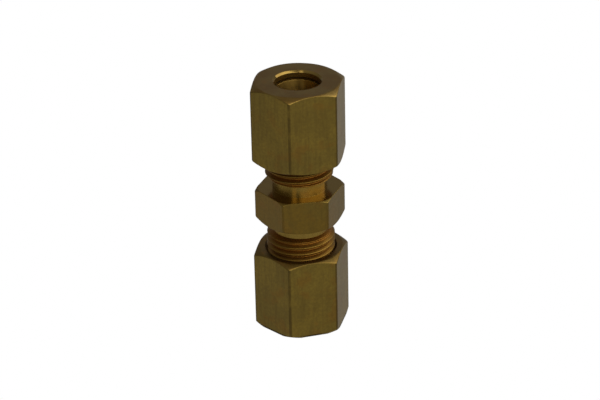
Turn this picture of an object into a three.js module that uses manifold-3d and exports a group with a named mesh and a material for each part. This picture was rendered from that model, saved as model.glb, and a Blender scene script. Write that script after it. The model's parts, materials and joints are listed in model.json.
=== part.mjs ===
// Straight compression union for two 5/16 in tubes: a double-ended body, and at each end a cap nut
// that drives a sleeve into the body's conical seat.
// Millimetres. The origin is the centre of the body's hexagon, and +Z runs up the common axis.
// Everything that both ends share is drawn once for the upper end, with +Z pointing out of the fitting,
// and the lower end is the same thing turned half a turn about X, which keeps its thread right-handed.

import * as THREE from "three";
import { mergeVertices } from "three/addons/utils/BufferGeometryUtils.js";
import Module from "manifold-3d";

const wasm = await Module();
wasm.setup();

const INCH = 25.4;
const DEGREE = Math.PI / 180;

// Driving dimensions
const TUBE_OD = (5 / 16) * INCH;
const THREAD_OD = (1 / 2) * INCH;
const THREADS_PER_INCH = 20;
const NUT_ACROSS_FLATS = (5 / 8) * INCH;
const BODY_ACROSS_FLATS = 14.6;
const NUT_LENGTH = 15.4;
const BODY_HEX_LENGTH = 6.45;
const NECK_LENGTH = 2.025; // smooth, between the hexagon and the thread
const BODY_END = 17.5; // from the centre to the body's end face
const NUT_MOUTH = 9.05; // from the centre to the nut's open end, with the nut run on by hand
const NUT_TURN_TOP = 12; // degrees from the body's hexagon to the nut's, seen from the nut's end
const NUT_TURN_BOTTOM = -7.9;
const THREAD_TURN_TOP = 165; // degrees from +X to where a crest crosses z = 0, seen the same way
const THREAD_TURN_BOTTOM = -15;

// Thread form: 60 degree flanks, a crest flat of an eighth of the pitch
const PITCH = INCH / THREADS_PER_INCH;
const THREAD_R = THREAD_OD / 2;
const ROOT_R = THREAD_R - 0.6134 * PITCH;
const CREST_HALF = PITCH / 16;
const FLANK_SLOPE = Math.tan(30 * DEGREE);
const THREAD_PLAY = 0.1; // radial at the major diameter, axial on each flank
const NUT_MINOR_R = 5.7;
const ROOT_OVERLAP = 0.25; // how deep the ridge's foot runs into the core, or the cutter's into the bore

// Body
const NECK_R = 5.1;
const SOCKET_CLEARANCE = 0.06; // radial, round the tube
const HEX_HALF = BODY_HEX_LENGTH / 2;
const THREAD_START = HEX_HALF + NECK_LENGTH;
const END_CHAMFER = 0.8;
const SOCKET_R = TUBE_OD / 2 + SOCKET_CLEARANCE;
const SOCKET_STOP = 6; // the tube's end stands here
const BORE_R = 3.175;
const SEAT_MOUTH_R = 4.88;
const SEAT_SLOPE = Math.tan(12 * DEGREE); // 24 degree seat
const SEAT_DEPTH = (SEAT_MOUTH_R - SOCKET_R) / SEAT_SLOPE;

// Nut
const NUT_END = NUT_MOUTH + NUT_LENGTH;
const NUT_CLEARANCE = 0.23; // radial, round the tube
const NUT_BORE_R = TUBE_OD / 2 + NUT_CLEARANCE;
const NUT_RIM = 0.36; // chamfer round the tube hole
const NUT_WALL = 1.5;
const NUT_CAVITY_R = 5.3;
const NUT_THREAD_END = 19.4;
const NUT_RELIEF_R = 6.5; // a groove where the threading tool runs out
const NUT_RELIEF_WIDTH = 0.5;
const NUT_MOUTH_R = 6.75; // countersunk mouth
const SHOULDER = NUT_END - NUT_WALL;

// Sleeve. Its nose is clear of the seat by the turns that the nut stands back from tight.
const LOOSE_TURNS = 1.5;
const TIGHT_GAP = 0.08; // radial, left between nose and seat when the nut is tight
const SLEEVE_R = 5.1;
const SLEEVE_TIP_R = 4.27;
const SLEEVE_CONE = (SLEEVE_R - SLEEVE_TIP_R) / SEAT_SLOPE;
const TIGHT_TIP = BODY_END - (SEAT_MOUTH_R - TIGHT_GAP - SLEEVE_TIP_R) / SEAT_SLOPE;
const SLEEVE_TIP = TIGHT_TIP + LOOSE_TURNS * PITCH;
const SLEEVE_PLAY = 0.2; // along the axis, between the sleeve's back and the nut's shoulder
const SLEEVE_BACK = SHOULDER - SLEEVE_PLAY;
const SLEEVE_BACK_CHAMFER = 0.88;

// Hexagon ends are turned at 30 degrees, from a circle on the end face. Shares are of the size across flats.
const HEX_END_SLOPE = Math.tan(30 * DEGREE);
const FACE_SHARE = 0.49;
const BODY_TOP_FACE_SHARE = 0.53; // only the corners are touched
const BOTTOM_END_FACE_SHARE = 0.52; // the same at the foot of the lower nut

// Facets
const THREAD_FACETS = 24; // in one turn
const HEX_END_FACETS = 48;

const PAST = 1; // how far a cutting solid runs past the face it opens

const brass = (color, roughness) => new THREE.MeshStandardMaterial({ color, roughness, metalness: 1 });

// A closed geometry as a manifold solid.
function solid(geometry) {
  const bare = geometry.clone().deleteAttribute("normal");
  bare.deleteAttribute("uv");
  const merged = mergeVertices(bare, 1e-4);
  const vertProperties = new Float32Array(merged.attributes.position.array);
  const triVerts = new Uint32Array(merged.index.array);
  return new wasm.Manifold(new wasm.Mesh({ numProp: 3, vertProperties, triVerts }));
}

// A manifold solid as a geometry.
function geometryOf(manifold) {
  const mesh = manifold.getMesh();
  const geometry = new THREE.BufferGeometry();
  geometry.setAttribute("position", new THREE.BufferAttribute(mesh.vertProperties, 3));
  geometry.setIndex(new THREE.BufferAttribute(mesh.triVerts, 1));
  geometry.computeVertexNormals();
  return geometry;
}

// A solid of revolution about Z. The outline is [radius, z] points that close on themselves, or start
// and end on the axis, and rise on their outer side.
function turned(outline, facets = THREAD_FACETS) {
  const points = outline.map(([radius, z]) => new THREE.Vector2(radius, z));
  return solid(new THREE.LatheGeometry(points, facets).rotateX(Math.PI / 2));
}

// A hexagon bar from z0 to z1, a corner at the given angle from +X.
function hexBar(acrossFlats, z0, z1, cornerAngle = 0) {
  const cornerR = acrossFlats / Math.sqrt(3);
  const shape = new THREE.Shape();
  for (let side = 0; side < 6; side += 1) {
    const angle = (side * 60 + cornerAngle) * DEGREE;
    shape[side ? "lineTo" : "moveTo"](cornerR * Math.cos(angle), cornerR * Math.sin(angle));
  }
  shape.closePath();
  const bar = new THREE.ExtrudeGeometry(shape, { depth: z1 - z0, bevelEnabled: false });
  return solid(bar.translate(0, 0, z0));
}

// The turned envelope that cuts a hexagon's corners back at each end, from circles on its end faces.
function hexEnvelope(z0, z1, faceR0, faceR1) {
  const reach = NUT_ACROSS_FLATS;
  const outline = [
    [0, z0],
    [faceR0, z0],
    [reach, z0 + (reach - faceR0) * HEX_END_SLOPE],
    [reach, z1 - (reach - faceR1) * HEX_END_SLOPE],
    [faceR1, z1],
    [0, z1],
  ];
  return turned(outline, HEX_END_FACETS);
}

// A right-handed ridge that climbs one pitch in a turn. The cross-section is [radius, z] corners about
// the ridge's middle, which crosses +X at every whole pitch, so any two ridges are in step.
function helicalRidge(section, z0, z1) {
  const firstTurn = Math.floor(z0 / PITCH);
  const turns = Math.ceil(z1 / PITCH) - firstTurn;
  const steps = turns * THREAD_FACETS;
  const corners = section.length;
  const positions = [];
  for (let step = 0; step <= steps; step += 1) {
    const angle = (step / THREAD_FACETS) * 2 * Math.PI;
    const rise = (firstTurn + step / THREAD_FACETS) * PITCH;
    for (const [radius, z] of section) {
      positions.push(radius * Math.cos(angle), radius * Math.sin(angle), z + rise);
    }
  }
  const index = [];
  for (let step = 0; step < steps; step += 1) {
    for (let corner = 0; corner < corners; corner += 1) {
      const here = step * corners + corner;
      const beside = step * corners + ((corner + 1) % corners);
      index.push(here, here + corners, beside);
      index.push(beside, here + corners, beside + corners);
    }
  }
  const last = steps * corners;
  for (let corner = 1; corner < corners - 1; corner += 1) {
    index.push(0, corner, corner + 1);
    index.push(last, last + corner + 1, last + corner);
  }
  const geometry = new THREE.BufferGeometry();
  geometry.setAttribute("position", new THREE.Float32BufferAttribute(positions, 3));
  geometry.setIndex(index);
  return solid(geometry);
}

// Half the thickness of the thread's ridge at a radius.
const ridgeHalf = (radius, play) => CREST_HALF + play + (THREAD_R - radius) * FLANK_SLOPE;

// The body's external thread, its foot sunk in the core.
function externalRidge(z0, z1) {
  const foot = ROOT_R - ROOT_OVERLAP;
  const footHalf = ridgeHalf(ROOT_R, 0);
  const section = [
    [foot, -footHalf],
    [ROOT_R, -footHalf],
    [THREAD_R, -CREST_HALF],
    [THREAD_R, CREST_HALF],
    [ROOT_R, footHalf],
    [foot, footHalf],
  ];
  return helicalRidge(section, z0, z1);
}

// The same ridge with play all round, which cuts the nut's internal thread.
function internalCutter(z0, z1) {
  const foot = NUT_MINOR_R - ROOT_OVERLAP;
  const crest = THREAD_R + THREAD_PLAY;
  const footHalf = ridgeHalf(NUT_MINOR_R, THREAD_PLAY);
  const crestHalf = ridgeHalf(crest, THREAD_PLAY);
  const section = [
    [foot, -footHalf],
    [NUT_MINOR_R, -footHalf],
    [crest, -crestHalf],
    [crest, crestHalf],
    [NUT_MINOR_R, footHalf],
    [foot, footHalf],
  ];
  return helicalRidge(section, z0, z1);
}

// One end of the body, from its centre out: neck, thread with a shoulder as steep as its own flanks at
// the start and a 45 degree bevel at the end.
function bodyEnd(threadTurn) {
  const core = turned([
    [0, 0],
    [NECK_R, 0],
    [NECK_R, THREAD_START],
    [ROOT_R, THREAD_START + (ROOT_R - NECK_R) * FLANK_SLOPE],
    [ROOT_R, BODY_END],
    [0, BODY_END],
  ]);
  const reach = THREAD_R + END_CHAMFER;
  const envelope = turned([
    [0, 0],
    [NECK_R, 0],
    [NECK_R, THREAD_START],
    [reach, THREAD_START + (reach - NECK_R) * FLANK_SLOPE],
    [reach, BODY_END - 2 * END_CHAMFER],
    [THREAD_R - END_CHAMFER, BODY_END],
    [0, BODY_END],
  ]);
  const ridge = externalRidge(THREAD_START - PITCH, BODY_END + PITCH);
  return core.add(ridge).intersect(envelope).rotate([0, 0, threadTurn]);
}

// What is bored out of one end of the body: seat, tube socket and half the through bore.
function endBore() {
  return turned([
    [0, -PAST],
    [BORE_R, -PAST],
    [BORE_R, SOCKET_STOP],
    [SOCKET_R, SOCKET_STOP],
    [SOCKET_R, BODY_END - SEAT_DEPTH],
    [SEAT_MOUTH_R, BODY_END],
    [SEAT_MOUTH_R, BODY_END + PAST],
    [0, BODY_END + PAST],
  ]);
}

function unionBody() {
  const lowerFaceR = FACE_SHARE * BODY_ACROSS_FLATS;
  const upperFaceR = BODY_TOP_FACE_SHARE * BODY_ACROSS_FLATS;
  const hexagon = hexBar(BODY_ACROSS_FLATS, -HEX_HALF, HEX_HALF).intersect(
    hexEnvelope(-HEX_HALF, HEX_HALF, lowerFaceR, upperFaceR),
  );
  const bore = endBore();
  const halfTurn = [180, 0, 0];
  return hexagon
    .add(bodyEnd(THREAD_TURN_TOP))
    .add(bodyEnd(THREAD_TURN_BOTTOM).rotate(halfTurn))
    .subtract(bore)
    .subtract(bore.rotate(halfTurn));
}

function capNut(hexAngle, threadTurn, endFaceShare) {
  const mouthFaceR = FACE_SHARE * NUT_ACROSS_FLATS;
  const endFaceR = endFaceShare * NUT_ACROSS_FLATS;
  const blank = hexBar(NUT_ACROSS_FLATS, NUT_MOUTH, NUT_END, hexAngle).intersect(
    hexEnvelope(NUT_MOUTH, NUT_END, mouthFaceR, endFaceR),
  );
  const reliefEnd = NUT_THREAD_END + NUT_RELIEF_WIDTH;
  const hollow = turned([
    [0, NUT_MOUTH - PAST],
    [NUT_MOUTH_R + PAST, NUT_MOUTH - PAST],
    [NUT_MINOR_R, NUT_MOUTH + NUT_MOUTH_R - NUT_MINOR_R],
    [NUT_MINOR_R, NUT_THREAD_END - NUT_RELIEF_R + NUT_MINOR_R],
    [NUT_RELIEF_R, NUT_THREAD_END],
    [NUT_RELIEF_R, reliefEnd],
    [NUT_CAVITY_R, reliefEnd + NUT_RELIEF_R - NUT_CAVITY_R],
    [NUT_CAVITY_R, SHOULDER - NUT_CAVITY_R + NUT_BORE_R],
    [NUT_BORE_R, SHOULDER],
    [NUT_BORE_R, NUT_END - NUT_RIM],
    [NUT_BORE_R + NUT_RIM + PAST, NUT_END + PAST],
    [0, NUT_END + PAST],
  ]);
  const cutterEnd = NUT_THREAD_END + NUT_RELIEF_WIDTH / 2;
  const cutterReach = turned([
    [0, NUT_MOUTH - PAST],
    [NUT_RELIEF_R, NUT_MOUTH - PAST],
    [NUT_RELIEF_R, cutterEnd],
    [0, cutterEnd],
  ]);
  const cutter = internalCutter(NUT_MOUTH - PITCH, cutterEnd + PITCH).intersect(cutterReach);
  return blank.subtract(hollow.add(cutter).rotate([0, 0, threadTurn]));
}

// A ring with a 12 degree nose and a 45 degree back.
function sleeve() {
  return turned([
    [SOCKET_R, SLEEVE_TIP],
    [SLEEVE_TIP_R, SLEEVE_TIP],
    [SLEEVE_R, SLEEVE_TIP + SLEEVE_CONE],
    [SLEEVE_R, SLEEVE_BACK - SLEEVE_BACK_CHAMFER],
    [SLEEVE_R - SLEEVE_BACK_CHAMFER, SLEEVE_BACK],
    [SOCKET_R, SLEEVE_BACK],
    [SOCKET_R, SLEEVE_TIP],
  ]);
}

function piece(name, manifold, material) {
  const mesh = new THREE.Mesh(geometryOf(manifold), material);
  mesh.name = name;
  return mesh;
}

// The nut and the sleeve of one end.
function endAssembly(side, hexAngle, threadTurn, endFaceShare) {
  const end = new THREE.Group();
  const nut = capNut(hexAngle, threadTurn, endFaceShare);
  end.add(piece(`nut_${side}`, nut, brass(0x8a7234, 0.45)));
  end.add(piece(`sleeve_${side}`, sleeve(), brass(0x9a7d38, 0.3)));
  return end;
}

const fitting = new THREE.Group();
fitting.add(piece("union_body", unionBody(), brass(0x8c7030, 0.35)));

const topEnd = endAssembly("top", NUT_TURN_TOP, THREAD_TURN_TOP, FACE_SHARE);
const bottomEnd = endAssembly("bottom", NUT_TURN_BOTTOM, THREAD_TURN_BOTTOM, BOTTOM_END_FACE_SHARE);
bottomEnd.rotation.x = Math.PI;
fitting.add(topEnd, bottomEnd);

export default fitting;
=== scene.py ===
"""The finished look of a brass compression union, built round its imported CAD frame.

Each piece is one closed skin: rings of vertices round the common axis, run up the outside and down the
bore. Outlines are in millimetres in the frame of the upper end, where +Z points out of the fitting, and
become metres when a mesh is made. The lower nut and sleeve are the upper ones' outlines, turned half a
turn about X. The materials' patterns are in object space, and their sizes are in millimetres too.
"""

import json
import math

import bmesh
import bpy
import numpy as np
from mathutils import Matrix, Quaternion, Vector

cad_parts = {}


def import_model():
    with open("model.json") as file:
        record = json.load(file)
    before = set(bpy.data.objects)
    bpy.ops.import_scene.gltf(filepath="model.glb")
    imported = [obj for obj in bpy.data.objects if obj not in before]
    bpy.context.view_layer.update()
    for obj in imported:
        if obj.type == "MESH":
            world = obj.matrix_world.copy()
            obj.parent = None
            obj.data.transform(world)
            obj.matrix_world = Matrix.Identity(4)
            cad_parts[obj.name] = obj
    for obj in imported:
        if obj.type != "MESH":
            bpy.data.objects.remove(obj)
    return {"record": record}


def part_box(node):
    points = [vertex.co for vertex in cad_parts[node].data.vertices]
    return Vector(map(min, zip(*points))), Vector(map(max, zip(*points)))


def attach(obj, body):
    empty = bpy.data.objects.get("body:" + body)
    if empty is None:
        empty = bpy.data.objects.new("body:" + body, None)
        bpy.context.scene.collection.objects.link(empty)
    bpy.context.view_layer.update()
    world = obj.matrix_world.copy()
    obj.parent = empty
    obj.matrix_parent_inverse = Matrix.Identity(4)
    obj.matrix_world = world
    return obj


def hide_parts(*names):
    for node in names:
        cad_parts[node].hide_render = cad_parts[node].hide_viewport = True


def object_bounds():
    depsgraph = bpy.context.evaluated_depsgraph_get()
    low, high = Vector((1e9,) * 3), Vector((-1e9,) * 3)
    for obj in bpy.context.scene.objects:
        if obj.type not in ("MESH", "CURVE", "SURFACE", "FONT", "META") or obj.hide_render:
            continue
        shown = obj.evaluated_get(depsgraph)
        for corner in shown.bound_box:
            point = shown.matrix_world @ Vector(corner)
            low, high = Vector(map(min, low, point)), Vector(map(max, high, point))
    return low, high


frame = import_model()
cad_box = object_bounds()

MM = 0.001
TURN = 2 * math.pi


def span(node):
    """Lowest and highest corner of a CAD node in millimetres."""
    low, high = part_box(node)
    return low / MM, high / MM


# Places that the frame gives
BODY_END = span("union_body")[1].z
BODY_FLATS = 2 * span("union_body")[1].y
NUT_MOUTH = span("nut_top")[0].z
NUT_END = span("nut_top")[1].z
SLEEVE_TIP = span("sleeve_top")[0].z
SLEEVE_BACK = span("sleeve_top")[1].z
SLEEVE_R = span("sleeve_top")[1].x
BEHAVIOUR = frame["record"]["behaviour"]
JOINTS = {joint["name"]: joint for joint in BEHAVIOUR["joints"]}
RADIANS_PER_METRE = BEHAVIOUR["couplings"][0]["ratio"]  # how far a nut turns as it travels
PITCH = TURN / RADIANS_PER_METRE / MM

# Thread, radii in millimetres
THREAD_R = 6.35
ROOT_R = THREAD_R - 0.6134 * PITCH
CREST_HALF = PITCH / 16
FLANK_SLOPE = math.tan(math.radians(30))
NUT_PLAY = 0.1
NUT_MINOR_R = 5.7
EDGE_SOFTNESS = 0.07  # how far the thread's edges are blended
THREAD_CLEAR = 0.05  # this far into each end of the body's thread its skin is still round
MOUTH_CLEAR = 0.15  # the same at the nut's mouth

# Degrees about an end's own +Z that its thread is turned, as its crest else crosses +X at whole pitches
THREAD_TURN_TOP = 165
THREAD_TURN_BOTTOM = -15

# Body
NECK_R = 5.1
HEX_HALF = 3.225
THREAD_START = 5.25
END_FACE_R = 5.5
SEAT_MOUTH_R = 4.88
SOCKET_R = 4.03
SEAT_DEPTH = (SEAT_MOUTH_R - SOCKET_R) / math.tan(math.radians(12))
SOCKET_STOP = 6
BORE_R = 3.175

# Nut
NUT_FLATS = 15.875
NUT_CORNER_TOP = 12  # degrees from the body's hexagon to the nut's
NUT_CORNER_BOTTOM = -7.9
NUT_BORE_R = 4.2
NUT_RIM = 0.36
NUT_WALL = 1.5
NUT_CAVITY_R = 5.3
NUT_THREAD_END = 19.4
NUT_RELIEF_R = 6.5
NUT_RELIEF_WIDTH = 0.5
NUT_MOUTH_R = 6.75

# Sleeve
SLEEVE_TIP_R = 4.27
SLEEVE_CONE = (SLEEVE_R - SLEEVE_TIP_R) / math.tan(math.radians(12))
SLEEVE_BACK_CHAMFER = 0.88

# Hexagons: the turned chamfer starts from a circle on the end face, a share of the size across flats
FACE_SHARE = 0.49
BODY_TOP_FACE_SHARE = 0.53
BOTTOM_END_FACE_SHARE = 0.52
CHAMFER_SLOPE = math.tan(math.radians(30))
HEX_CORNER_ROUND = 0.4
EDGE_BREAK = 0.1  # least width of a chamfer, where its circle is outside a flat
CHAMFER_WEAR = 0.22  # share of a chamfer that is rounded off at each of its edges

# How far from a corner of an outline its rounding starts
SHOULDER_ROUND = 0.02
FINE_ROUND = 0.03
RIM_ROUND = 0.04
STEP_ROUND = 0.05
EDGE_ROUND = 0.06
SOFT_ROUND = 0.08
CONE_ROUND = 0.15
SEAT_ROUND = 0.2

SEAM_STRIP = 0.5  # height of the strip in a bore where an outline's last ring meets its first

# Mesh density
CORNER_STEPS = 8
FLAT_STEPS = 24
ROUND_STEPS = 4
ROWS_PER_PITCH = 20
WELD_DISTANCE = 0.001
LARGE_FACE_WEIGHT = 60  # over 50, so that a vertex normal follows the larger faces round it


def hexagon(across_flats, corner_round, corner_angle):
    """Angles round a hexagon with rounded corners, crowded at the corners, and its radius at each."""
    centre = (across_flats / 2 - corner_round) / math.cos(math.radians(30))
    sweep = np.radians(np.linspace(-30, 30, CORNER_STEPS + 1))
    corner = centre + corner_round * np.exp(1j * sweep)
    next_corner = corner[0] * np.exp(1j * TURN / 6)
    flat = np.linspace(corner[-1], next_corner, FLAT_STEPS + 1)[1:-1]
    side = np.concatenate([corner, flat])
    starts = np.exp(1j * (math.radians(corner_angle) + np.arange(6) * TURN / 6))
    outline = np.concatenate([side * start for start in starts])
    return np.unwrap(np.angle(outline)), np.abs(outline)


def soft_min(a, b):
    """The smaller of two numbers, blended where they are close."""
    nearness = np.maximum(EDGE_SOFTNESS - np.abs(a - b), 0) / EDGE_SOFTNESS
    return np.minimum(a, b) - nearness**2 * EDGE_SOFTNESS / 4


def soft_max(a, b):
    return -soft_min(-a, -b)


def thread_radius(angle, z, turned, crest_r, root_r, crest_half):
    """Radius of a right-hand thread. At 0 degrees turned, its crest crosses +X at whole pitches."""
    turns = z / PITCH - angle / TURN + turned / 360
    off_crest = np.abs(turns - np.round(turns)) * PITCH
    flank = crest_r - (off_crest - crest_half) / FLANK_SLOPE
    return soft_max(soft_min(flank, crest_r), root_r)


class Skin:
    """Rings of vertices round the axis, each joined to the next and the last to the first."""

    def __init__(self, angles):
        self.angles = angles
        self.radii = []
        self.heights = []
        self.seams = []
        self.surfaces = []

    def ring(self, radius, height, surface, seam=None):
        """One ring. surface is what the strip after it is made of."""
        count = len(self.angles)
        self.seams.append(len(self.radii) if seam is None else seam)
        self.radii.append(np.broadcast_to(radius, count))
        self.heights.append(np.broadcast_to(height, count))
        self.surfaces.append(surface)

    def outline(self, corners):
        """Rings along corners of (radius, height, rounding, surface after it)."""
        count = len(self.angles)
        points = [np.stack([np.broadcast_to(part, count) for part in corner[:2]]) for corner in corners]
        for place, (point, corner) in enumerate(zip(points, corners)):
            rounding, surface = corner[2:]
            if not np.any(rounding):
                self.ring(*point, surface)
                continue
            earlier_surface = corners[place - 1][3]
            before = points[place - 1] - point
            after = points[place + 1] - point
            start = point + before / np.hypot(*before) * rounding
            finish = point + after / np.hypot(*after) * rounding
            for step in range(ROUND_STEPS + 1):
                share = step / ROUND_STEPS
                curve = (1 - share) ** 2 * start + 2 * share * (1 - share) * point + share**2 * finish
                self.ring(*curve, surface if share >= 0.5 else earlier_surface)

    def thread(self, low, high, radius_at, downwards=False):
        """Rows that climb with the helix from low to high, where the skin is round at both heights.
        After a full turn each row meets the one a pitch above it, which closes the seam."""
        first = math.floor(low / PITCH - 1 - self.angles[0] / TURN)
        pitches = math.ceil(high / PITCH - self.angles[0] / TURN) - first
        rows = pitches * ROWS_PER_PITCH + 1
        base = len(self.radii)
        for place in range(rows):
            row = rows - 1 - place if downwards else place
            climb = first + row / ROWS_PER_PITCH + self.angles / TURN
            height = np.clip(climb * PITCH, low, high)
            above = min(row + ROWS_PER_PITCH, rows - 1)
            seam = base + (rows - 1 - above if downwards else above)
            self.ring(radius_at(self.angles, height), height, "thread", seam)

    def piece(self, name, materials, half_turn=False):
        """The skin as a Blender object, in metres."""
        radii, heights = np.array(self.radii), np.array(self.heights)
        points = np.stack([radii * np.cos(self.angles), radii * np.sin(self.angles), heights], -1)
        rings, count = radii.shape
        here = np.arange(rings * count).reshape(rings, count)
        beside = np.roll(here, -1, axis=1)
        beside[:, -1] = np.array(self.seams) * count
        above, beside_above = np.roll(here, -1, axis=0), np.roll(beside, -1, axis=0)
        faces = np.stack([here, beside, beside_above, above], -1).reshape(-1, 4)
        mesh = bpy.data.meshes.new(name)
        mesh.from_pydata((points.reshape(-1, 3) * MM).tolist(), [], faces.tolist())
        kinds = sorted(set(self.surfaces))
        strip_kind = np.array([kinds.index(surface) for surface in self.surfaces])
        mesh.polygons.foreach_set("material_index", np.repeat(strip_kind, count).astype(np.int32))
        for kind in kinds:
            mesh.materials.append(materials[kind])
        shaped = bmesh.new()
        shaped.from_mesh(mesh)
        bmesh.ops.remove_doubles(shaped, verts=shaped.verts, dist=WELD_DISTANCE * MM)
        if half_turn:
            shaped.transform(Matrix.Rotation(math.pi, 4, "X"))
        for face in shaped.faces:
            face.smooth = True
        shaped.to_mesh(mesh)
        shaped.free()
        made = bpy.data.objects.new(name, mesh)
        bpy.context.scene.collection.objects.link(made)
        shading = made.modifiers.new("even shading", "WEIGHTED_NORMAL")
        shading.mode = "FACE_AREA"
        shading.weight = LARGE_FACE_WEIGHT
        return made


# Materials ----------------------------------------------------------------------------------------


def node(tree, kind, inputs=None, **settings):
    """A node whose inputs are set from values or linked from sockets."""
    made = tree.nodes.new(kind)
    for name, value in settings.items():
        setattr(made, name, value)
    for name, value in (inputs or {}).items():
        if isinstance(value, bpy.types.NodeSocket):
            tree.links.new(value, made.inputs[name])
        else:
            made.inputs[name].default_value = value
    return made


def maths(tree, operation, first, second=0.0, third=0.0):
    inputs = {0: first, 1: second, 2: third}
    return node(tree, "ShaderNodeMath", inputs, operation=operation).outputs[0]


def remap(tree, value, low, high, to_low=0.0, to_high=1.0):
    """value from low..high carried to to_low..to_high, eased and held at the ends."""
    inputs = {"Value": value, "From Min": low, "From Max": high, "To Min": to_low, "To Max": to_high}
    made = node(tree, "ShaderNodeMapRange", inputs, interpolation_type="SMOOTHSTEP")
    return made.outputs["Result"]


def mix_colour(tree, share, first, second):
    made = node(tree, "ShaderNodeMix", {0: share, 6: first, 7: second}, data_type="RGBA")
    return made.outputs[2]


def noise(tree, vector, per_mm, detail=3.0, roughness=0.55):
    """Noise from 0 to 1 about a half, with so many lumps a millimetre."""
    inputs = {"Vector": vector, "Scale": per_mm / MM, "Detail": detail, "Roughness": roughness}
    return node(tree, "ShaderNodeTexNoise", inputs).outputs["Fac"]


class Brass:
    """One brass surface's material: colour layers, a roughness and a height, all in object space."""

    def __init__(self, name, base):
        self.material = bpy.data.materials.new(name)
        self.material.use_nodes = True
        self.tree = self.material.node_tree
        self.tree.nodes.clear()
        self.place = node(self.tree, "ShaderNodeTexCoord").outputs["Object"]
        axes = node(self.tree, "ShaderNodeSeparateXYZ", {0: self.place})
        self.x, self.y, self.z = axes.outputs
        across = node(self.tree, "ShaderNodeCombineXYZ", {"X": self.x, "Y": self.y})
        length = node(self.tree, "ShaderNodeVectorMath", {0: across.outputs[0]}, operation="LENGTH")
        self.radius = length.outputs["Value"]
        self.colour = node(self.tree, "ShaderNodeRGB").outputs[0]
        self.colour.default_value = (*base, 1)
        self.roughness = None
        self.height = None
        self.stretched = {}

    def layer(self, colour, share):
        """Covers share of the surface with another colour."""
        self.colour = mix_colour(self.tree, share, self.colour, (*colour, 1))

    def blotches(self, per_mm, low, high, most, detail=3.0):
        """A share that grows from 0 to most as a noise goes from low to high, so it comes in patches."""
        return remap(self.tree, noise(self.tree, self.place, per_mm, detail), low, high, 0, most)

    def stain(self, colour, *shares):
        """Covers the product of some shares of the surface with another colour."""
        share = shares[0]
        for other in shares[1:]:
            share = maths(self.tree, "MULTIPLY", share, other)
        self.layer(colour, share)

    def band(self, distance, start, end, most=1.0):
        """A share that goes from 0 at one distance, in millimetres, to most at another."""
        return remap(self.tree, distance, start * MM, end * MM, 0, most)

    def rough(self, middle, spread, per_mm, detail=3.0):
        """Roughness that swings about a middle with a noise."""
        pattern = noise(self.tree, self.place, per_mm, detail)
        self.roughness = maths(self.tree, "MULTIPLY_ADD", pattern, spread, middle - spread / 2)

    def relief(self, pattern, depth):
        """Adds a pattern of a depth in millimetres to the surface's height."""
        raised = maths(self.tree, "MULTIPLY", pattern, depth * MM)
        self.height = raised if self.height is None else maths(self.tree, "ADD", self.height, raised)

    def tool_marks(self, along, depth):
        """Fine marks that only change along one number, the radius or the height."""
        inputs = {"W": along, "Scale": TOOL_MARKS_PER_MM / MM, "Detail": 3.0, "Roughness": 0.7}
        marks = node(self.tree, "ShaderNodeTexNoise", inputs, noise_dimensions="1D")
        self.relief(marks.outputs["Fac"], depth)

    def stretch(self, amount, along):
        """Stretches reflections across the tool marks: up the axis or out along the radius."""
        parts = {"Z": 1.0} if along == "axis" else {"X": self.x, "Y": self.y}
        tangent = node(self.tree, "ShaderNodeCombineXYZ", parts).outputs[0]
        self.stretched = {"Anisotropic": amount, "Tangent": tangent}

    def finish(self):
        """The material, once its colour, roughness and relief are set."""
        relief = {"Height": self.height, "Strength": 1.0, "Distance": 1.0}
        bump = node(self.tree, "ShaderNodeBump", relief)
        inputs = {
            "Base Color": self.colour,
            "Metallic": 1.0,
            "Roughness": self.roughness,
            "Normal": bump.outputs[0],
            **self.stretched,
        }
        shader = node(self.tree, "ShaderNodeBsdfPrincipled", inputs)
        node(self.tree, "ShaderNodeOutputMaterial", {"Surface": shader.outputs[0]})
        return self.material


NUT_BRASS = (0.318, 0.216, 0.041)
BODY_BRASS = (0.262, 0.160, 0.028)
BROWN_TARNISH = (0.230, 0.128, 0.030)
ORANGE_TARNISH = (0.290, 0.145, 0.026)
OLIVE_TARNISH = (0.228, 0.160, 0.036)
DARK_TARNISH = (0.165, 0.108, 0.026)
# Near-black brown, painted where the brass should look dark from light: shade under the rim and at the
# gap to the sleeve, a shadow at the foot, a dark reflection along the corners
PAINTED_SHADE = (0.060, 0.038, 0.014)
# Bright brass, painted on the nuts' turned corners as a highlight
HIGHLIGHT_BRASS = (0.40, 0.25, 0.06)
ROOT_BRASS = (0.290, 0.125, 0.018)

TOOL_MARKS_PER_MM = 9
STREAK_SHORTENING = 0.08  # how much slower a drawn bar's streaks change along it than across it
CORNER_HIGHLIGHT_RADII = (8.3, 9.0)  # radii over which a nut's turned end goes from dull to a painted highlight at its corners
RIM_SHADE_REACH = 0.5  # how far in from its rim a tube hole is painted darker, as shade under the rim

# How far from an edge its painted darkening begins, and where it is full
CORNER_DARK_REFLECTION = (0.13, 0.04)  # in from a hexagon's corners, a painted dark reflection
FOOT_SHADOW = (0.5, 0.25)  # up from the fitting's foot, a painted shadow
GAP_SHADE = (0.4, 0.15)  # out from a tube hole's inner edge, painted shade at the gap to the sleeve


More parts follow.
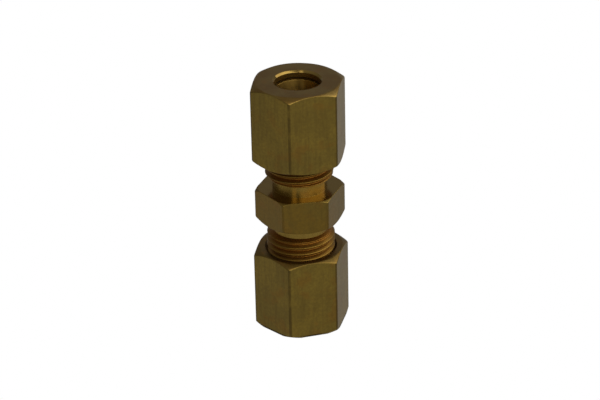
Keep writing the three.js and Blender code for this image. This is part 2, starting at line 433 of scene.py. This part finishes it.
def drawn_brass(name, base, corner_r, corner_reflection):
    """A hexagon's flats, as the drawn bar left them: long streaks and stains, a dark reflection painted
    along its corners, and a shadow painted at the fitting's foot, the lower nut's end."""
    brass = Brass(name, base)
    tree = brass.tree
    scale = (1, 1, STREAK_SHORTENING)
    stretched = node(tree, "ShaderNodeMapping", {"Vector": brass.place, "Scale": scale}).outputs[0]
    streaks = noise(tree, stretched, 1.7, 5, 0.7)
    hairlines = noise(tree, stretched, 11, 2)
    mottle = brass.blotches(2.1, 0.30, 0.70, 1.0, 5)
    brass.stain(OLIVE_TARNISH, brass.blotches(0.17, 0.40, 0.60, 0.5))
    brass.stain(DARK_TARNISH, remap(tree, streaks, 0.46, 0.64, 0, 0.35))
    brass.stain(ORANGE_TARNISH, brass.blotches(0.29, 0.52, 0.68, 0.5))
    brass.stain(DARK_TARNISH, mottle, 0.4)
    # Painted dark reflection along the hexagon's corners, in patches
    painted_corner_reflection = brass.band(brass.radius, *(corner_r - inside for inside in CORNER_DARK_REFLECTION), corner_reflection)
    brass.stain(PAINTED_SHADE, painted_corner_reflection, brass.blotches(0.42, 0.10, 0.55, 1.1))
    # Painted shadow at the fitting's foot, the lower nut's end
    painted_foot_shadow = brass.band(brass.z, *(above - NUT_END for above in FOOT_SHADOW))
    brass.stain(PAINTED_SHADE, painted_foot_shadow, brass.blotches(0.3, 0.30, 0.55, 0.95))
    brass.rough(0.36, 0.16, 1.5, 4)
    brass.relief(streaks, 0.005)
    brass.relief(hairlines, 0.002)
    brass.relief(mottle, 0.003)
    return brass.finish()


def faced_brass(name, base, corner_highlight):
    """The nuts' turned ends, dulled, with the rings of the facing tool and a highlight painted on the
    corners.
    """
    brass = Brass(name, base)
    brass.stain(BROWN_TARNISH, brass.blotches(0.24, 0.40, 0.62, 0.8))
    brass.stain(ORANGE_TARNISH, brass.blotches(0.42, 0.54, 0.68, 0.5))
    # Painted highlight at the corners, as strong as the last argument asks
    brass.stain(HIGHLIGHT_BRASS, brass.band(brass.radius, *CORNER_HIGHLIGHT_RADII, corner_highlight))
    brass.rough(0.40, 0.14, 1.4, 4)
    brass.tool_marks(brass.radius, 0.003)
    return brass.finish()


def smooth_face_brass():
    """The body's hexagon faces, turned nearly to a mirror."""
    brass = Brass("smooth_face_brass", (0.285, 0.180, 0.038))
    brass.stain(BROWN_TARNISH, brass.blotches(0.42, 0.46, 0.68, 0.5))
    brass.rough(0.17, 0.06, 1.2)
    brass.tool_marks(brass.radius, 0.0006)
    brass.stretch(0.5, "radius")
    return brass.finish()


def neck_brass():
    """The necks between hexagon and thread, turned smooth and bright."""
    brass = Brass("neck_brass", (0.370, 0.243, 0.052))
    brass.stain(BROWN_TARNISH, brass.blotches(0.42, 0.50, 0.72, 0.4))
    brass.rough(0.27, 0.06, 1.2)
    brass.tool_marks(brass.z, 0.0008)
    brass.stretch(0.7, "axis")
    return brass.finish()


def thread_brass():
    """Threads, redder towards the roots."""
    brass = Brass("thread_brass", (0.245, 0.135, 0.023))
    brass.stain(ROOT_BRASS, brass.band(brass.radius, THREAD_R, ROOT_R))
    brass.stain(BROWN_TARNISH, brass.blotches(0.35, 0.45, 0.70, 0.5))
    brass.rough(0.42, 0.14, 1.5)
    brass.relief(noise(brass.tree, brass.place, 5, 2), 0.002)
    return brass.finish()


def bore_brass(name, base, roughness):
    """Bores and seats, reamed, with rings that draw reflections out into streaks up the wall."""
    brass = Brass(name, base)
    brass.stain(BROWN_TARNISH, brass.blotches(0.38, 0.46, 0.66, 0.5))
    brass.rough(roughness, 0.10, 1.2)
    brass.tool_marks(brass.z, 0.001)
    brass.stretch(0.85, "axis")
    return brass.finish()


def wall_brass():
    """The nuts' tube holes inside the rim, with shade painted under it and at the gap to the sleeve."""
    brass = Brass("wall_brass", (0.310, 0.178, 0.036))
    tree = brass.tree
    depth = maths(tree, "SUBTRACT", NUT_END * MM, maths(tree, "ABSOLUTE", brass.z))
    # Painted shade just under the rim, in patches
    painted_shade_under_rim = brass.band(depth, NUT_RIM + RIM_SHADE_REACH, NUT_RIM, 0.9)
    brass.stain(PAINTED_SHADE, painted_shade_under_rim, brass.blotches(0.26, 0.35, 0.55, 1.0))
    # Painted shade at the gap to the sleeve
    brass.stain(PAINTED_SHADE, brass.band(depth, *(NUT_WALL - above for above in GAP_SHADE), 0.9))
    brass.rough(0.45, 0.10, 1.2)
    brass.tool_marks(brass.z, 0.001)
    return brass.finish()


def corner_radius(across_flats):
    """From the axis to a hexagon's rounded corner."""
    return (across_flats / 2 - HEX_CORNER_ROUND) / math.cos(math.radians(30)) + HEX_CORNER_ROUND


MATERIALS = {
    "nut flat": drawn_brass("nut_flat_brass", NUT_BRASS, corner_radius(NUT_FLATS), 0.5),
    "body flat": drawn_brass("body_flat_brass", BODY_BRASS, corner_radius(BODY_FLATS), 0.2),
    # A turned end's last number is how strong the highlight painted on its corners is
    "faced": faced_brass("faced_brass", (0.275, 0.178, 0.048), 0.7),
    # The mouths' brass is a darker copy of the turned ends' brass, with shade painted in where each
    # nut's mouth faces the body's hexagon
    "mouth": faced_brass("mouth_brass", (0.193, 0.121, 0.028), 0.2),
    "smooth": smooth_face_brass(),
    "neck": neck_brass(),
    "thread": thread_brass(),
    "rim": bore_brass("rim_brass", (0.380, 0.250, 0.062), 0.20),
    "wall": wall_brass(),
    "bore": bore_brass("bore_brass", (0.470, 0.290, 0.062), 0.35),
}


# Pieces -------------------------------------------------------------------------------------------


def chamfer(across_flats, face_share, hex_r):
    """A chamfer's circle on the end face, its reach along the axis, and the rounding of its edges."""
    face_r = np.minimum(face_share * across_flats, hex_r - EDGE_BREAK)
    width = hex_r - face_r
    return face_r, width * CHAMFER_SLOPE, width * CHAMFER_WEAR / math.cos(math.radians(30))


def body():
    """The body, from the middle of its bore down, up the outside, and back down the bore."""
    angles, hex_r = hexagon(BODY_FLATS, HEX_CORNER_ROUND, 0)
    skin = Skin(angles)
    low_face_r, low_reach, low_wear = chamfer(BODY_FLATS, FACE_SHARE, hex_r)
    top_face_r, top_reach, top_wear = chamfer(BODY_FLATS, BODY_TOP_FACE_SHARE, hex_r)
    start_rise = THREAD_CLEAR * FLANK_SLOPE

    def radius_at(angle, z):
        out = np.abs(z)
        start = NECK_R + (out - THREAD_START) / FLANK_SLOPE
        end = END_FACE_R + (BODY_END - out)
        turned = np.where(z > 0, THREAD_TURN_TOP, -THREAD_TURN_BOTTOM)
        form = thread_radius(angle, z, turned, THREAD_R, ROOT_R, CREST_HALF)
        return np.minimum(form, np.minimum(start, end))

    skin.outline([
        (BORE_R, 0, 0, "bore"),
        (BORE_R, -SOCKET_STOP, EDGE_ROUND, "faced"),
        (SOCKET_R, -SOCKET_STOP, STEP_ROUND, "bore"),
        (SOCKET_R, SEAT_DEPTH - BODY_END, SEAT_ROUND, "bore"),
        (SEAT_MOUTH_R, -BODY_END, STEP_ROUND, "faced"),
        (END_FACE_R, -BODY_END, FINE_ROUND, "thread"),
        (END_FACE_R + THREAD_CLEAR, THREAD_CLEAR - BODY_END, 0, "thread"),
    ])
    skin.thread(THREAD_CLEAR - BODY_END, -THREAD_START - start_rise, radius_at)
    skin.outline([
        (NECK_R + THREAD_CLEAR, -THREAD_START - start_rise, 0, "thread"),
        (NECK_R, -THREAD_START, SHOULDER_ROUND, "neck"),
        (NECK_R, -HEX_HALF, FINE_ROUND, "smooth"),
        (low_face_r, -HEX_HALF, low_wear, "body flat"),
        (hex_r, low_reach - HEX_HALF, low_wear, "body flat"),
        (hex_r, HEX_HALF - top_reach, top_wear, "body flat"),
        (top_face_r, HEX_HALF, top_wear, "smooth"),
        (NECK_R, HEX_HALF, FINE_ROUND, "neck"),
        (NECK_R, THREAD_START, SHOULDER_ROUND, "thread"),
        (NECK_R + THREAD_CLEAR, THREAD_START + start_rise, 0, "thread"),
    ])
    skin.thread(THREAD_START + start_rise, BODY_END - THREAD_CLEAR, radius_at)
    skin.outline([
        (END_FACE_R + THREAD_CLEAR, BODY_END - THREAD_CLEAR, 0, "thread"),
        (END_FACE_R, BODY_END, FINE_ROUND, "faced"),
        (SEAT_MOUTH_R, BODY_END, STEP_ROUND, "bore"),
        (SOCKET_R, BODY_END - SEAT_DEPTH, SEAT_ROUND, "bore"),
        (SOCKET_R, SOCKET_STOP, STEP_ROUND, "faced"),
        (BORE_R, SOCKET_STOP, EDGE_ROUND, "bore"),
        (BORE_R, SEAM_STRIP, 0, "bore"),
    ])
    return skin.piece("fitting_body", MATERIALS)


def cap_nut(name, corner_angle, thread_turn, end_face_share, half_turn):
    """A nut, from its tube hole down the inside to the mouth, and back up the outside."""
    angles, hex_r = hexagon(NUT_FLATS, HEX_CORNER_ROUND, corner_angle)
    skin = Skin(angles)
    mouth_face_r, mouth_reach, mouth_wear = chamfer(NUT_FLATS, FACE_SHARE, hex_r)
    end_face_r, end_reach, end_wear = chamfer(NUT_FLATS, end_face_share, hex_r)
    shoulder = NUT_END - NUT_WALL
    relief_end = NUT_THREAD_END + NUT_RELIEF_WIDTH

    def radius_at(angle, z):
        crest = THREAD_R + NUT_PLAY
        crest_half = CREST_HALF + NUT_PLAY * (1 - FLANK_SLOPE)
        form = thread_radius(angle, z, thread_turn, crest, NUT_MINOR_R, crest_half)
        mouth = NUT_MOUTH_R - (z - NUT_MOUTH)
        relief = NUT_RELIEF_R - (NUT_THREAD_END - z)
        return np.maximum(form, np.maximum(mouth, relief))

    skin.outline([
        (NUT_BORE_R, shoulder + NUT_WALL / 4, 0, "wall"),
        (NUT_BORE_R, shoulder, SOFT_ROUND, "bore"),
        (NUT_CAVITY_R, shoulder + NUT_BORE_R - NUT_CAVITY_R, SOFT_ROUND, "bore"),
        (NUT_CAVITY_R, relief_end + NUT_RELIEF_R - NUT_CAVITY_R, SOFT_ROUND, "bore"),
        (NUT_RELIEF_R, relief_end, SOFT_ROUND, "bore"),
        (NUT_RELIEF_R, NUT_THREAD_END, 0, "thread"),
    ])
    skin.thread(NUT_MOUTH + MOUTH_CLEAR, NUT_THREAD_END, radius_at, downwards=True)
    skin.outline([
        (NUT_MOUTH_R - MOUTH_CLEAR, NUT_MOUTH + MOUTH_CLEAR, 0, "thread"),
        (NUT_MOUTH_R, NUT_MOUTH, EDGE_ROUND, "mouth"),
        (mouth_face_r, NUT_MOUTH, mouth_wear, "mouth"),
        (hex_r, NUT_MOUTH + mouth_reach, mouth_wear, "nut flat"),
        (hex_r, NUT_END - end_reach, end_wear, "faced"),
        (end_face_r, NUT_END, end_wear, "faced"),
        (NUT_BORE_R + NUT_RIM, NUT_END, RIM_ROUND, "rim"),
        (NUT_BORE_R, NUT_END - NUT_RIM, SOFT_ROUND, "wall"),
        (NUT_BORE_R, NUT_END - NUT_WALL / 2, 0, "wall"),
    ])
    return skin.piece(name, MATERIALS, half_turn)


def sleeve(name, half_turn):
    """A sleeve, from the middle of its bore down, up the outside, and back down the bore."""
    skin = Skin(np.linspace(0, TURN, 6 * (CORNER_STEPS + FLAT_STEPS), endpoint=False))
    middle = (SLEEVE_TIP + SLEEVE_BACK) / 2
    skin.outline([
        (SOCKET_R, middle, 0, "bore"),
        (SOCKET_R, SLEEVE_TIP, STEP_ROUND, "faced"),
        (SLEEVE_TIP_R, SLEEVE_TIP, STEP_ROUND, "bore"),
        (SLEEVE_R, SLEEVE_TIP + SLEEVE_CONE, CONE_ROUND, "bore"),
        (SLEEVE_R, SLEEVE_BACK - SLEEVE_BACK_CHAMFER, SOFT_ROUND, "faced"),
        (SLEEVE_R - SLEEVE_BACK_CHAMFER, SLEEVE_BACK, FINE_ROUND, "faced"),
        (SOCKET_R, SLEEVE_BACK, EDGE_ROUND, "bore"),
        (SOCKET_R, middle + SEAM_STRIP, 0, "bore"),
    ])
    return skin.piece(name, MATERIALS, half_turn)


def fit(piece, node_name, body_name):
    """Puts a finished piece in the place of its CAD node."""
    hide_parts(node_name)
    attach(piece, body_name)


top_nut = cap_nut("cap_nut_top", NUT_CORNER_TOP, THREAD_TURN_TOP, FACE_SHARE, False)
bottom_nut = cap_nut(
    "cap_nut_bottom", NUT_CORNER_BOTTOM, THREAD_TURN_BOTTOM, BOTTOM_END_FACE_SHARE, True
)
fit(body(), "union_body", "body")
fit(top_nut, "nut_top", "top_nut")
fit(bottom_nut, "nut_bottom", "bottom_nut")
fit(sleeve("tube_sleeve_top", False), "sleeve_top", "top_sleeve")
fit(sleeve("tube_sleeve_bottom", True), "sleeve_bottom", "bottom_sleeve")


# Stage --------------------------------------------------------------------------------------------

# Distances from here on are in metres.
FLOOR_RADIUS = 3.0
FLOOR_SEGMENTS = 96
FLOOR_DROP = JOINTS["bottom_travel"]["range_m"][1]  # leaves the lower nut its room to travel
LAMP_DISTANCE = 0.7
PAPER = 0.28  # how pale the floor is where the brass mirrors it
PAPER_GLOW = 0.20  # light that reaches the floor from all round, shadow or not

# The room's dim light, and the parts of a direction over which it changes
ROOM_LEFT = 0.18
ROOM_RIGHT = 0.28
ROOM_OVERHEAD = 0.34
LEFT_TO_RIGHT = (-0.7, 0.1)
LEVEL_TO_OVERHEAD = (0.4, 1.0)


def seen_directly(tree):
    """1 for what the camera looks at, 0 for what is mirrored or lights something."""
    return node(tree, "ShaderNodeLightPath").outputs["Is Camera Ray"]


def white_to_camera(tree, shader):
    """Burnt out to plain white where the camera sees it, and the shader everywhere else."""
    white = node(tree, "ShaderNodeEmission", {"Strength": 1.0})
    share = seen_directly(tree)
    return node(tree, "ShaderNodeMixShader", {0: share, 1: shader, 2: white.outputs[0]}).outputs[0]


def floor():
    """A pale paper disc that the lower nut reaches only at the end of its travel."""
    made = bmesh.new()
    bmesh.ops.create_circle(made, cap_ends=True, segments=FLOOR_SEGMENTS, radius=FLOOR_RADIUS)
    mesh = bpy.data.meshes.new("floor")
    made.to_mesh(mesh)
    made.free()
    plate = bpy.data.objects.new("floor", mesh)
    plate.location.z = cad_box[0].z - FLOOR_DROP
    bpy.context.scene.collection.objects.link(plate)
    paper = bpy.data.materials.new("pale_paper")
    paper.use_nodes = True
    tree = paper.node_tree
    tree.nodes.clear()
    matt = node(tree, "ShaderNodeBsdfDiffuse", {"Color": (PAPER, PAPER, PAPER, 1)}).outputs[0]
    glow = node(tree, "ShaderNodeEmission", {"Strength": PAPER_GLOW}).outputs[0]
    lit = node(tree, "ShaderNodeAddShader", {0: matt, 1: glow}).outputs[0]
    node(tree, "ShaderNodeOutputMaterial", {"Surface": white_to_camera(tree, lit)})
    mesh.materials.append(paper)


def world():
    """A dim room, brighter on the right and overhead, that is plain white to the camera."""
    made = bpy.data.worlds.new("studio")
    bpy.context.scene.world = made
    made.use_nodes = True
    tree = made.node_tree
    tree.nodes.clear()
    direction = node(tree, "ShaderNodeTexCoord").outputs["Generated"]
    way = node(tree, "ShaderNodeSeparateXYZ", {0: direction})
    level = remap(tree, way.outputs["X"], *LEFT_TO_RIGHT, ROOM_LEFT, ROOM_RIGHT)
    glow = remap(tree, way.outputs["Z"], *LEVEL_TO_OVERHEAD, level, ROOM_OVERHEAD)
    strength = node(tree, "ShaderNodeMix", {0: seen_directly(tree), 2: glow, 3: 1.0}).outputs[0]
    light = node(tree, "ShaderNodeBackground", {"Strength": strength})
    node(tree, "ShaderNodeOutputWorld", {"Surface": light.outputs[0]})


def towards(azimuth, elevation):
    """Unit vector, azimuth 0 towards -Y and growing towards +X."""
    a, e = math.radians(azimuth), math.radians(elevation)
    return Vector((math.sin(a) * math.cos(e), -math.cos(a) * math.cos(e), math.sin(e)))


def softbox(name, azimuth, elevation, width, height, radiance):
    """A soft rectangular light that faces the fitting. Every size is an angle in degrees."""
    lamp = bpy.data.lights.new(name, "AREA")
    lamp.shape = "RECTANGLE"
    lamp.size = 2 * LAMP_DISTANCE * math.tan(math.radians(width / 2))
    lamp.size_y = 2 * LAMP_DISTANCE * math.tan(math.radians(height / 2))
    lamp.energy = radiance * math.pi * lamp.size * lamp.size_y
    out = towards(azimuth, elevation)
    made = bpy.data.objects.new(name, lamp)
    made.location = out * LAMP_DISTANCE
    made.rotation_mode = "QUATERNION"
    made.rotation_quaternion = out.to_track_quat("Z", "Y")
    bpy.context.scene.collection.objects.link(made)


# The camera stands in front and above, a little to the left, and leans so that the fitting tips left.
CAMERA_AZIMUTH = -7.39
CAMERA_ELEVATION = 26.8
CAMERA_DISTANCE = 0.45
CAMERA_ROLL = 1.25
CAMERA_SHIFT = (-0.01 * MM, 0.175 * MM)  # the picture's centre, right of and above the origin
LENS = 146  # focal length in millimetres
NEAREST = 0.01
FARTHEST = 10


def camera():
    """The camera, aimed past the origin by its shift and rolled about its line of sight."""
    lens = bpy.data.cameras.new("camera")
    lens.lens = LENS
    lens.clip_start = NEAREST
    lens.clip_end = FARTHEST
    back = towards(CAMERA_AZIMUTH, CAMERA_ELEVATION)
    right = Vector((0, 0, 1)).cross(back).normalized()
    up = back.cross(right)
    made = bpy.data.objects.new("camera", lens)
    shift_right, shift_up = CAMERA_SHIFT
    made.location = right * shift_right + up * shift_up + back * CAMERA_DISTANCE
    facing = Matrix((right, up, back)).transposed().to_quaternion()
    made.rotation_mode = "QUATERNION"
    made.rotation_quaternion = facing @ Quaternion((0, 0, 1), math.radians(-CAMERA_ROLL))
    bpy.context.scene.collection.objects.link(made)
    bpy.context.scene.camera = made


floor()
world()
softbox("key", azimuth=57, elevation=42, width=104, height=46, radiance=1.5)
softbox("strip", azimuth=-31, elevation=42, width=15, height=46, radiance=1.3)
camera()
bpy.context.scene.view_settings.view_transform = "Standard"
